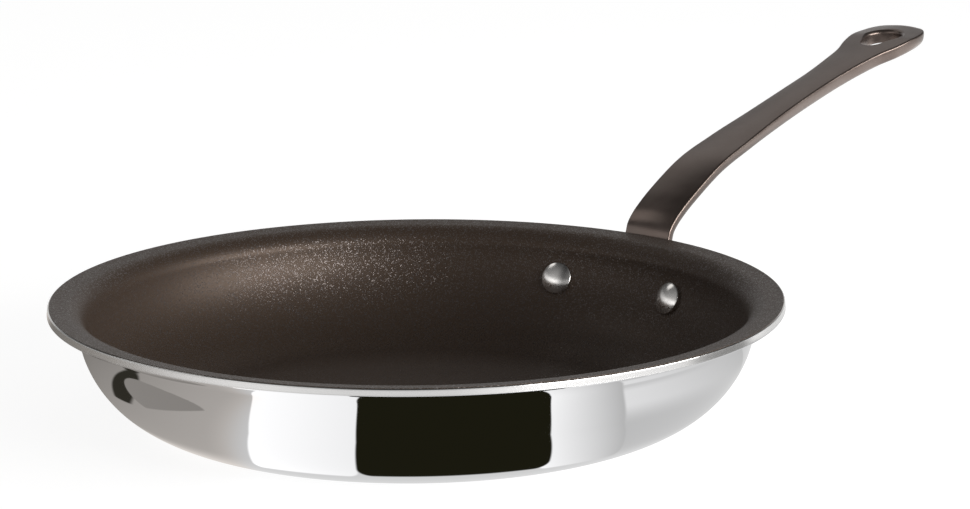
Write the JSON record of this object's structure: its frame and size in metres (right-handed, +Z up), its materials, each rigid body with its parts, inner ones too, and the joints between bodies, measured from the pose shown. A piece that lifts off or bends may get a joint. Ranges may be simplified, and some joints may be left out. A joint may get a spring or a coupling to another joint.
{
  "type": "omelette pan",
  "caption": "Round omelette pan with a flared pouring rim, curved wall, nonstick lined clad body and a long riveted cast iron handle ending in a teardrop hanging eye.",
  "frame": {"origin": "centre of the flat underside that rests on the hob", "axes": "+X from the pan's axis along the handle to its tip, +Z up out of the pan, +Y to the left of the handle as seen from the pan"},
  "size_m": [0.477, 0.28, 0.1133],
  "materials": {
    "polished_steel": "mirror polished magnetic stainless steel",
    "aluminium_bond": "aluminium alloy bond layer, seen only on the trimmed edge",
    "aluminium_core": "pure aluminium, seen only on the trimmed edge",
    "satin_steel": "satin stainless steel under the lining",
    "nonstick": "sprayed warm black nonstick lining with fine mica sparkle",
    "cast_iron": "satin bronze brown coating on cast iron",
    "rivet_steel": "bright stainless steel, tumbled"
  },
  "bodies": {
    "root": {"outer_ply": "polished_steel", "lower_bond_ply": "aluminium_bond", "core_ply": "aluminium_core", "upper_bond_ply": "aluminium_bond", "inner_ply": "satin_steel", "nonstick_coating": "nonstick", "handle": "cast_iron", "rivet_left": "rivet_steel", "rivet_right": "rivet_steel"}
  },
  "joints": []
}
